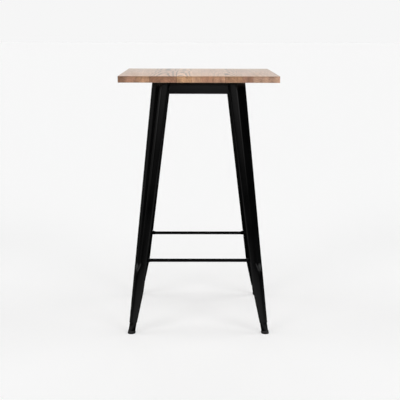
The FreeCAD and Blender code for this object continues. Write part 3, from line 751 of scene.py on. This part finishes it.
# %% Folded rails
RAIL_HEIGHT = 50 * MM
RAIL_SETBACK = 4 * MM
RAIL_SHEET = 1.5 * MM
RAIL_FLANGE = 22 * MM
RAIL_LIP = 10 * MM
RAIL_TAB = 22 * MM
RAIL_FOLD = 3 * MM
RAIL_LOW = BASE_HEIGHT - RAIL_HEIGHT
TAB_NOTCH = 5 * MM
END_GAP = 0.1 * MM
FOLD_STEPS = 5
WEB_ROWS = 3
X_AXIS = Vector((1, 0, 0))
Y_AXIS = Vector((0, 1, 0))


def rail_half(z):
    """Half the length of a rail at height z, up to the lip of the leg."""
    return corner(z) - flange_width(z) - END_GAP


def rail_face(z):
    """Distance from the middle of the table to a rail's outer face at height z."""
    return corner(z) - RAIL_SETBACK


def fold_flap(bm, edges, axis, angle, reach):
    """Bend the edges of the web inwards about an axis, then extrude a flat flap to a reach along Y."""
    start = edges[0].verts[0].co + INWARD * RAIL_FOLD
    spun = bmesh.ops.spin(bm, geom=edges, cent=start, axis=axis, angle=angle, steps=FOLD_STEPS)
    bent = [item for item in spun["geom_last"] if isinstance(item, bmesh.types.BMEdge)]
    flap = bmesh.ops.extrude_edge_only(bm, edges=bent)["geom"]
    verts = [item for item in flap if isinstance(item, bmesh.types.BMVert)]
    bmesh.ops.translate(bm, verts=verts, vec=Y_AXIS * reach)


def rail_mesh():
    """Front rail, folded from its web."""
    bm = bmesh.new()
    bmesh.ops.create_grid(bm, x_segments=1, y_segments=WEB_ROWS, size=0.5)
    level = RAIL_FOLD * math.sin(LEAN)
    rows = [RAIL_LOW + RAIL_FOLD + level, RAIL_LOW + TAB_NOTCH]
    rows += [BASE_HEIGHT - TAB_NOTCH, BASE_HEIGHT - RAIL_FOLD + level]
    for vert in bm.verts:
        row = round((vert.co.y + 0.5) * WEB_ROWS)
        z = rows[row]
        half = rail_half(z) - (RAIL_FOLD if row in (1, 2) else 0)
        vert.co = Vector((math.copysign(half, vert.co.x), -rail_face(z), z))
    bmesh.ops.recalc_face_normals(bm, faces=bm.faces)
    if next(iter(bm.faces)).normal.y > 0:
        bmesh.ops.reverse_faces(bm, faces=bm.faces)

    def row_edges(low, high):
        return [edge for edge in bm.edges
                if all(low - NEAR < vert.co.z < high + NEAR for vert in edge.verts)]

    top, bottom = row_edges(rows[3], rows[3]), row_edges(rows[0], rows[0])
    left, right = sorted((edge for edge in row_edges(rows[1], rows[2]) if edge.is_boundary),
                         key=lambda edge: edge.verts[0].co.x)
    fold_flap(bm, top, X_AXIS, LEAN - QUARTER, RAIL_FLANGE - RAIL_FOLD)
    fold_flap(bm, bottom, X_AXIS, QUARTER + LEAN, RAIL_LIP - RAIL_FOLD)
    for edge, turn in ((left, -QUARTER), (right, QUARTER)):
        low_vert, high_vert = sorted(edge.verts, key=lambda vert: vert.co.z)
        fold_flap(bm, [edge], (high_vert.co - low_vert.co).normalized(), turn, RAIL_TAB - RAIL_FOLD)
    bmesh.ops.recalc_face_normals(bm, faces=bm.faces)
    web = min(bm.faces, key=lambda face: face.calc_center_median().y)
    if web.normal.y > 0:
        bmesh.ops.reverse_faces(bm, faces=bm.faces)
    bmesh.ops.solidify(bm, geom=bm.faces, thickness=RAIL_SHEET)
    soften(bm, sharp_edges(bm), RAW_EDGE)
    return bm


add_quarters(rail_mesh(), "folded_apron", SIDES, coat, "black_powder_coat", "apron_rail")

# %% [markdown]
# ## The foot rungs
# A rung is a round bar whose ends were pressed flat, so that they lie against the leg's flange behind its
# lip. A cylinder with a box at each end would show a step. A pressed bar changes slowly: it gets higher
# as it gets thinner. So the bar is a row of circles. Each one is squeezed by its own share, with its
# sides held flat between the jaws of the press, and the row is bridged from end to end.

# %% Pressed rungs
RUNG_RADIUS = 6.5 * MM
RUNG_END_THICKNESS = 6 * MM
RUNG_END_HEIGHT = 17 * MM
RUNG_SHOWING = 2 * MM
RUNG_FLARE = 12 * MM
RUNG_SIDES = 32
RUNG_END_GAP = 0.5 * MM
FLARE_STEPS = 6
END_ROUND = 0.4 * MM
ridge_at_rung = np.interp(RUNG_HEIGHT, [FLUTE_HEIGHT, BASE_HEIGHT], RIDGE_STARTS)
rung_tip = corner(RUNG_HEIGHT) - ridge_at_rung - RUNG_END_GAP
flat_start = corner(RUNG_HEIGHT) - flange_width(RUNG_HEIGHT) - RUNG_SHOWING


def rung_stations():
    """Places along half a rung, from its tip to its middle, each with the share that it is pressed."""
    stations = [(rung_tip, 1.0), (flat_start, 1.0)]
    for step in range(1, FLARE_STEPS + 1):
        along = step / FLARE_STEPS
        stations.append((flat_start - RUNG_FLARE * along, 0.5 + 0.5 * math.cos(math.pi * along)))
    return stations


def rung_section(bm, x, pressed):
    """Circle at x, squeezed by a share towards the flat end; returns its edges."""
    ring = bmesh.ops.create_circle(bm, segments=RUNG_SIDES, radius=RUNG_RADIUS)["verts"]
    seat = Vector((x, LEG_SHEET - corner(RUNG_HEIGHT), RUNG_HEIGHT))
    half = RUNG_END_THICKNESS / 2
    for vert in ring:
        depth, height = vert.co.x, vert.co.y
        depth += pressed * (min(max(depth, -half), half) - depth)
        height *= 1 + pressed * (RUNG_END_HEIGHT / 2 / RUNG_RADIUS - 1)
        middle = RUNG_RADIUS + pressed * (half - RUNG_RADIUS)
        vert.co = seat + INWARD * (middle + depth) + UPWARD * height
    return list({edge for vert in ring for edge in vert.link_edges})


def rung_mesh():
    """Front rung, bridged from tip to tip."""
    bm = bmesh.new()
    stations = rung_stations()
    stations += [(-x, pressed) for x, pressed in reversed(stations)]
    rings = [rung_section(bm, x, pressed) for x, pressed in stations]
    for one, other in zip(rings, rings[1:]):
        bmesh.ops.bridge_loops(bm, edges=one + other)
    bmesh.ops.holes_fill(bm, edges=rings[0] + rings[-1], sides=RUNG_SIDES)
    bmesh.ops.recalc_face_normals(bm, faces=bm.faces)
    soften(bm, sharp_edges(bm), END_ROUND)
    return bm


add_quarters(rung_mesh(), "pressed_rung", SIDES, rung_coat, "black_powder_coat", "foot_rung")

# %% [markdown]
# ## The feet
# A short round tube is welded into the end of each leg, and a rubber cap is pushed over it. Both lean
# with the leg, but the sole of the cap lies flat on the floor. The tube is a circle that is extruded
# along the lean and gets a wall. The cap is a profile that is spun about its axis, tilted with the tube,
# and cut level by the floor's plane. Its sole gets a round edge, because rubber is moulded.

# %% Axis of a foot
ankle_slope = (FLANGE_WIDTHS[1] - FLANGE_WIDTHS[0]) / (ANKLE_HEIGHT - LEG_END)


def foot_centre(z):
    """Middle of the front left leg's lowest part at height z."""
    reach = corner(z) - (FLANGE_WIDTHS[0] + ankle_slope * (z - LEG_END)) / 2
    return Vector((-reach, -reach, z))


foot_axis = (foot_centre(ANKLE_HEIGHT) - foot_centre(0)).normalized()
foot_turn = Z_AXIS.rotation_difference(foot_axis).to_matrix().to_4x4()
foot_place = Matrix.Translation(foot_centre(0)) @ foot_turn
print("a foot leans", round(math.degrees(foot_axis.angle(Z_AXIS)), 1), "degrees")

# %% Tubes in the leg ends
TUBE_CLEARANCE = 0.25 * MM
TUBE_RADIUS = FLANGE_WIDTHS[0] / 2 - LEG_SHEET - TUBE_CLEARANCE
TUBE_WALL = 2 * MM
TUBE_INSERT = 40 * MM
TUBE_TOP = LEG_END + TUBE_INSERT
CAP_SOLE = 4 * MM
FOOT_SIDES = 48


def tube_mesh():
    """Round tube along the lean of the front left leg."""
    bm = bmesh.new()
    bmesh.ops.create_circle(bm, segments=FOOT_SIDES, radius=TUBE_RADIUS)
    bmesh.ops.translate(bm, verts=bm.verts, vec=Z_AXIS * CAP_SOLE)
    wall = bmesh.ops.extrude_edge_only(bm, edges=bm.edges)["geom"]
    top = [item for item in wall if isinstance(item, bmesh.types.BMVert)]
    bmesh.ops.translate(bm, verts=top, vec=Z_AXIS * (TUBE_TOP - CAP_SOLE))
    bmesh.ops.recalc_face_normals(bm, faces=bm.faces)
    if any(face.normal.dot(face.calc_center_median() * Vector((1, 1, 0))) < 0 for face in bm.faces):
        bmesh.ops.reverse_faces(bm, faces=bm.faces)
    bmesh.ops.solidify(bm, geom=bm.faces, thickness=TUBE_WALL)
    soften(bm, sharp_edges(bm), END_ROUND)
    bmesh.ops.transform(bm, matrix=foot_place, verts=bm.verts)
    return bm


add_quarters(tube_mesh(), "foot_sleeve", CORNERS, coat, "black_powder_coat", "foot_tube")

# %% Rubber caps
CAP_CLEARANCE = 0.15 * MM
CAP_WALL = 1.4 * MM
CAP_COVER = 7 * MM
CAP_BORE = TUBE_RADIUS + CAP_CLEARANCE
CAP_RADIUS = CAP_BORE + CAP_WALL
CAP_RIM = CAP_SOLE + CAP_COVER
CAP_EDGE = 1.2 * MM
SOLE_ROUND = 1.5 * MM


def spun_mesh(profile, sides):
    """Closed form of (radius, height) points that are walked and spun about Z."""
    bm = bmesh.new()
    spots = [Vector((radius, 0, height)) for radius, height in profile]
    end = bm.verts.new(spots[0])
    for spot in spots[1:]:
        end = straight_to(bm, end, spot)
    line = bm.verts[:] + bm.edges[:]
    bmesh.ops.spin(bm, geom=line, cent=(0, 0, 0), axis=Z_AXIS, angle=2 * math.pi, steps=sides,
                   use_merge=True)
    bmesh.ops.remove_doubles(bm, verts=bm.verts, dist=NEAR / 10)
    bmesh.ops.recalc_face_normals(bm, faces=bm.faces)
    return bm


def cap_mesh():
    """Rubber cap of the front left foot, cut level with the floor."""
    bm = spun_mesh([
        (0, -CAP_RADIUS),
        (CAP_RADIUS, -CAP_RADIUS),
        (CAP_RADIUS, CAP_RIM - CAP_EDGE),
        (CAP_RADIUS - 0.35 * CAP_EDGE, CAP_RIM - 0.35 * CAP_EDGE),
        (CAP_RADIUS - CAP_EDGE, CAP_RIM),
        (CAP_BORE, CAP_RIM),
        (CAP_BORE, CAP_SOLE),
        (0, CAP_SOLE),
    ], FOOT_SIDES)
    bmesh.ops.transform(bm, matrix=foot_place, verts=bm.verts)
    everything = bm.verts[:] + bm.edges[:] + bm.faces[:]
    cut = bmesh.ops.bisect_plane(bm, geom=everything, plane_co=(0, 0, 0), plane_no=-Z_AXIS,
                                 clear_outer=True)
    rim = [item for item in cut["geom_cut"] if isinstance(item, bmesh.types.BMEdge)]
    bmesh.ops.holes_fill(bm, edges=rim, sides=4 * FOOT_SIDES)
    bmesh.ops.recalc_face_normals(bm, faces=bm.faces)
    soften(bm, rim, SOLE_ROUND, 4)
    return bm


add_quarters(cap_mesh(), "foot_shoe", CORNERS, rubber, "black_rubber", "foot_cap")

# %% [markdown]
# ## Bolts, nuts, studs and washers
# The fasteners can be seen from below and inside the legs. A bolt or a nut with a flange is one form
# here: a hexagon on a round foot. The flange is a spun profile with a soft edge. The hexagon is a cone
# with six sides and equal radii, whose top is inset and raised, which leaves a chamfer. A thread is a
# spun zigzag: at this size nobody can tell rings from a helix. One fastener is made at the origin and
# copied to every seat. Of the wood screws only the heads show, so they keep their CAD form and just get
# the zinc finish.

# %% Forms of the fasteners
FLANGE_SIDES, THREAD_SIDES = 32, 20
COLLAR_HEIGHT = 1.35
CHAMFER_DROP, CHAMFER_INSET = 0.04, 0.08
THREAD_TIP, THREAD_CORE = 0.4, 0.43


def flange_hexagon(flats, flange, thickness, height):
    """Hexagon on a round flange, seated on the XY plane."""
    bm = spun_mesh([
        (0, 0),
        (flange / 2, 0),
        (flange / 2, thickness / 2),
        (flange / 2 - thickness / 3, thickness),
        (flats / 2, COLLAR_HEIGHT * thickness),
        (0, COLLAR_HEIGHT * thickness),
    ], FLANGE_SIDES)
    rise = CHAMFER_DROP * flats
    hexagon = bmesh.ops.create_cone(bm, cap_ends=True, segments=6, radius1=flats / math.sqrt(3),
                                    radius2=flats / math.sqrt(3), depth=height - rise)["verts"]
    bmesh.ops.translate(bm, verts=hexagon, vec=Z_AXIS * (height - rise) / 2)
    top = [face for face in bm.faces if len(face.verts) == 6 and face.calc_center_median().z > height / 2]
    bmesh.ops.inset_region(bm, faces=top, thickness=CHAMFER_INSET * flats, depth=rise)
    return bm


def thread(diameter, low, high, pitch):
    """Threaded shank between two heights, with a chamfered end."""
    core = THREAD_CORE * diameter
    profile = [(0, low), (THREAD_TIP * diameter, low)]
    for turn in range(int((high - low) / pitch)):
        profile.append((diameter / 2, low + (turn + 0.5) * pitch))
        profile.append((core, low + (turn + 1) * pitch))
    return spun_mesh(profile + [(core, high), (0, high)], THREAD_SIDES)


def merged(*forms):
    """One bmesh out of several."""
    whole = bmesh.new()
    for form in forms:
        mesh = bpy.data.meshes.new("form")
        form.to_mesh(mesh)
        form.free()
        whole.from_mesh(mesh)
        bpy.data.meshes.remove(mesh)
    return whole


def copied(form, seats):
    """Copies of a form with its Z axis along each (point, axis)."""
    copies = []
    for point, axis in seats:
        copy = form.copy()
        turn = Z_AXIS.rotation_difference(axis).to_matrix().to_4x4()
        bmesh.ops.transform(copy, matrix=Matrix.Translation(point) @ turn, verts=copy.verts)
        copies.append(copy)
    form.free()
    return merged(*copies)


def all_round(seats):
    """Seats of the front side, turned to all four sides."""
    turns = [Matrix.Rotation(index * QUARTER, 3, "Z") for index in range(4)]
    return [(turn @ point, turn @ axis) for turn in turns for point, axis in seats]


print("fastener forms ready")

# %% Rail bolts and nuts
BOLT_SPACING = 22 * MM
BOLT_INSET = 14 * MM
# across the flats, across the flange, flange thickness, height
BOLT_HEAD = (8 * MM, 13.6 * MM, 1.4 * MM, 6.4 * MM)
RAIL_NUT = (10 * MM, 14 * MM, 1.4 * MM, 6 * MM)
# diameter, lower end, upper end, pitch
BOLT_THREAD = (6 * MM, -14 * MM, 0.5 * MM, 1 * MM)
LIP_LEAN = SPLAY + (FLANGE_WIDTHS[2] - FLANGE_WIDTHS[1]) / (BASE_HEIGHT - ANKLE_HEIGHT)

seats = []
for side in (-1, 1):
    for step in (-0.5, 0.5):
        z = BASE_HEIGHT - RAIL_HEIGHT / 2 + step * BOLT_SPACING
        point = Vector((side * (corner(z) - flange_width(z)), BOLT_INSET - corner(z), z))
        seats.append((point, Vector((-side, 0, -LIP_LEAN)).normalized()))
rail_seats = all_round(seats)
bolt = merged(flange_hexagon(*BOLT_HEAD), thread(*BOLT_THREAD))
head_seats = [(point + axis * RAIL_SHEET, axis) for point, axis in rail_seats]
add_piece(copied(bolt, head_seats), "hex_bolts", coat, "black_powder_coat", "rail_bolts")
nut_seats = [(point - axis * LEG_SHEET, -axis) for point, axis in rail_seats]
nuts = copied(flange_hexagon(*RAIL_NUT), nut_seats)
add_piece(nuts, "hex_nuts", coat, "black_powder_coat", "rail_nuts")
print("bolts and nuts:", len(rail_seats), "of each")

# %% Rung studs and nuts
STUD_NUT = (8 * MM, 11.6 * MM, 1.2 * MM, 5 * MM)
STUD_DIAMETER, STUD_PITCH = 5 * MM, 0.8 * MM
STUD_SHOWING = 7 * MM
lip_inside = flange_width(RUNG_HEIGHT) - LEG_SHEET
flat_middle = (corner(RUNG_HEIGHT) - rung_tip - RUNG_END_GAP + lip_inside) / 2
stud_x = corner(RUNG_HEIGHT) - flat_middle
seat_y = LEG_SHEET - corner(RUNG_HEIGHT)
rung_seats = all_round([(Vector((side * stud_x, seat_y, RUNG_HEIGHT)), INWARD) for side in (-1, 1)])
stud = thread(STUD_DIAMETER, -RUNG_END_THICKNESS - STUD_SHOWING, 0, STUD_PITCH)
studs = copied(stud, [(point, -axis) for point, axis in rung_seats])
add_piece(studs, "weld_studs", coat, "black_powder_coat", "rung_studs")
nut_seats = [(point + axis * RUNG_END_THICKNESS, axis) for point, axis in rung_seats]
nuts = copied(flange_hexagon(*STUD_NUT), nut_seats)
add_piece(nuts, "stud_nuts", coat, "black_powder_coat", "rung_nuts")
print("studs and nuts:", len(rung_seats), "of each")

# %% Washers and screws under the top
SCREW_SPACING = 140 * MM
WASHER_THICKNESS = 1.2 * MM
WASHER_RADIUS, WASHER_BORE = 6 * MM, 2.75 * MM
WASHER_SIDES = 40
WASHER_EDGE = 0.15 * MM
screw_y = RAIL_SETBACK + (RAIL_SHEET + RAIL_FLANGE) / 2 - FRAME_WIDTH / 2
washer_z = BASE_HEIGHT - RAIL_SHEET - WASHER_THICKNESS
screw_places = [Vector((side * SCREW_SPACING / 2, screw_y, washer_z)) for side in (-1, 1)]
screw_seats = all_round([(place, Z_AXIS) for place in screw_places])
washer = bmesh.new()
for radius in (WASHER_RADIUS, WASHER_BORE):
    bmesh.ops.create_circle(washer, segments=WASHER_SIDES, radius=radius)
bmesh.ops.bridge_loops(washer, edges=washer.edges[:])
bmesh.ops.solidify(washer, geom=washer.faces, thickness=-WASHER_THICKNESS)
bmesh.ops.recalc_face_normals(washer, faces=washer.faces)
soften(washer, sharp_edges(washer), WASHER_EDGE)
add_piece(copied(washer, screw_seats), "flat_washers", zinc, "zinc_plated_steel", "top_washers")
for slot in frame["nodes"]["top_screws"].material_slots:
    slot.material = zinc
print("washers:", len(screw_seats))

# %% [markdown]
# ## Floor and light
# The photograph was taken on a white sweep, where the floor runs into the background. A grid that is much
# larger than the view does the same here. Its paper glows a little, so that it stays almost white under
# the table and keeps only a breath of shadow.
#
# Wood and black paint want different light. Wood scatters it, so wide, soft lamps set its level: one
# overhead, three fills from the front and a softbox that lights only the staves. A satin coat mostly
# mirrors its surroundings, so what counts for the legs is what stands around them, and the lamps
# themselves stay out of its mirror images.
#
# The world is that studio: a dark room, a band of bright paper low down in front, and round lit panels
# with soft edges, placed by azimuth and elevation. Most of them are there for mirror images only. So the
# legs shine near the top, go black in the middle and are a little grey again at the feet, as in the
# photograph. The floor itself is left out of mirror images: it would reach too far to the front. The
# camera sees none of the studio, only plain white behind the table.

# %% Floor
PAPER = 0.922
FLOOR_GREY = 0.6
FLOOR_GLOW = 0.398
FLOOR_HALF = 60.0
bm = bmesh.new()
bmesh.ops.create_grid(bm, x_segments=1, y_segments=1, size=FLOOR_HALF)
floor_mesh = bpy.data.meshes.new("floor")
bm.to_mesh(floor_mesh)
bm.free()
floor = bpy.data.objects.new("floor", floor_mesh)
bpy.context.scene.collection.objects.link(floor)
floor.visible_glossy = False
floor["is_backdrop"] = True

floor_paper, tree, shader = new_finish("floor_paper")
shader.inputs["Base Color"].default_value = (FLOOR_GREY, FLOOR_GREY, FLOOR_GREY, 1)
shader.inputs["Roughness"].default_value = 1.0
shader.inputs["Specular IOR Level"].default_value = 0.0
shader.inputs["Emission Color"].default_value = (1, 1, 1, 1)
shader.inputs["Emission Strength"].default_value = FLOOR_GLOW
floor_mesh.materials.append(floor_paper)
print("floor:", 2 * FLOOR_HALF, "m wide")

# %% Lamps
# azimuth, elevation, strength and spread of each lamp, angles in degrees
SUNS = {
    "overhead": (0, 90, 0.5, 120),
    "front_fill": (0, 55, 0.3, 50),
    "left_fill": (-40, 22, 1.04, 27),
    "right_fill": (40, 22, 1.04, 27),
}
SOFTBOX_PLACE = Vector((-0.6, -1.6, 2.5))
SOFTBOX_WIDTH, SOFTBOX_HEIGHT = 2.6, 2.2
SOFTBOX_WATTS = 28


def direction_to(azimuth, elevation):
    """Unit vector from the table towards a place around it; azimuth 0 is the front, 90 the right."""
    a, e = math.radians(azimuth), math.radians(elevation)
    return Vector((math.sin(a) * math.cos(e), -math.cos(a) * math.cos(e), math.sin(e)))


def add_sun(name, azimuth, elevation, strength, spread):
    """Soft distant light."""
    data = bpy.data.lights.new(name, "SUN")
    data.energy = strength
    data.angle = math.radians(spread)
    sun = bpy.data.objects.new(name, data)
    bpy.context.scene.collection.objects.link(sun)
    sun.rotation_mode = "QUATERNION"
    sun.rotation_quaternion = direction_to(azimuth, elevation).to_track_quat("Z", "Y")
    sun.visible_glossy = False


for name, settings in SUNS.items():
    add_sun(name, *settings)

softbox_data = bpy.data.lights.new("softbox", "AREA")
softbox_data.shape = "RECTANGLE"
softbox_data.size, softbox_data.size_y = SOFTBOX_WIDTH, SOFTBOX_HEIGHT
softbox_data.energy = SOFTBOX_WATTS
softbox = bpy.data.objects.new("softbox", softbox_data)
bpy.context.scene.collection.objects.link(softbox)
softbox.location = SOFTBOX_PLACE
aim = SOFTBOX_PLACE - Vector((0, 0, cad_high.z))
softbox.rotation_mode = "QUATERNION"
softbox.rotation_quaternion = aim.to_track_quat("Z", "Y")
lit_wood = bpy.data.collections.new("lit_wood")
for number in range(1, len(STAVE_WOOD) + 1):
    lit_wood.objects.link(bpy.data.objects[f"stave_{number:02d}"])
softbox.light_linking.receiver_collection = lit_wood
print("lamps:", [lamp.name for lamp in bpy.data.lights])

# %% Studio around the table
ROOM, PAPER_BAND = 0.02, 1.0
# where the band of paper fades, as parts of a unit direction: above, below and towards the back
BAND_TOP, BAND_FOOT, BAND_BACK = (-0.12, -0.06), (-0.36, -0.22), (-0.1, 0.3)
PANEL_CORE = 0.8
# azimuth, elevation and radius in degrees, level, and whether only mirror images show the panel
PANELS = [
    (4, 25, 19, 0.8, False),
    (4, 36, 34, 1.1, True),
    (-40, 37, 34, 2.0, True),
    (40, 37, 34, 2.0, True),
    (-95, 34, 21, 2.3, False),
    (95, 34, 22, 2.3, False),
    (180, 27, 22, 1.5, False),
    (-75, 10, 14, 0.5, True),
    (-135, 10, 22, 0.5, True),
]

world = bpy.data.worlds.new("studio")
bpy.context.scene.world = world
world.use_nodes = True
studio = world.node_tree
surround = studio.nodes["Background"]
surround.inputs["Color"].default_value = (1, 1, 1, 1)
around = add_node(studio, "ShaderNodeTexCoord")
direction = add_node(studio, "ShaderNodeSeparateXYZ")
join(studio, around, "Generated", direction, "Vector")
rays = add_node(studio, "ShaderNodeLightPath")


def lit_panel(azimuth, elevation, radius, level, mirrored_only):
    """Round lit panel with a soft edge, which may shed no light on anything but mirrors."""
    rim, core = (math.cos(math.radians(share * radius)) for share in (1, PANEL_CORE))
    nearness = add_node(studio, "ShaderNodeVectorMath", operation="DOT_PRODUCT")
    nearness.inputs[1].default_value = direction_to(azimuth, elevation)
    join(studio, around, "Generated", nearness, 0)
    panel = ranged(studio, nearness, "Value", 0.0, level, rim, core)
    if not mirrored_only:
        return panel
    mirrored = add_node(studio, "ShaderNodeMath", operation="MULTIPLY")
    join(studio, panel, "Result", mirrored, 0)
    join(studio, rays, "Is Glossy Ray", mirrored, 1)
    return mirrored


glow = ranged(studio, direction, "Z", PAPER_BAND, ROOM, *BAND_TOP)
for limit in (ranged(studio, direction, "Z", ROOM, PAPER_BAND, *BAND_FOOT),
              ranged(studio, direction, "Y", PAPER_BAND, ROOM, *BAND_BACK)):
    glow = combined(studio, glow, limit, "MINIMUM")
for panel in PANELS:
    glow = combined(studio, glow, lit_panel(*panel), "MAXIMUM")
studio.links.new(glow.outputs[0], surround.inputs["Strength"])
print("lit panels:", len(PANELS))

# %% White behind the table
seen = add_node(studio, "ShaderNodeBackground", {"Color": (PAPER, PAPER, PAPER, 1), "Strength": 1.0})
backdrop = add_node(studio, "ShaderNodeMixShader")
join(studio, rays, "Is Camera Ray", backdrop, "Fac")
studio.links.new(surround.outputs["Background"], backdrop.inputs[1])
studio.links.new(seen.outputs["Background"], backdrop.inputs[2])
join(studio, backdrop, "Shader", studio.nodes["World Output"], "Surface")
bpy.context.scene.view_settings.view_transform = "Standard"
print("backdrop level:", PAPER)

# %% [markdown]
# ## Size
# The box of the dressed table is printed, to set beside the CAD box printed at the start.
# The dressed table must stay inside the CAD box.

# %% Box of the dressed table
low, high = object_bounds()
print("visual box, metres:", [round(value, 4) for value in (*low, *high)])
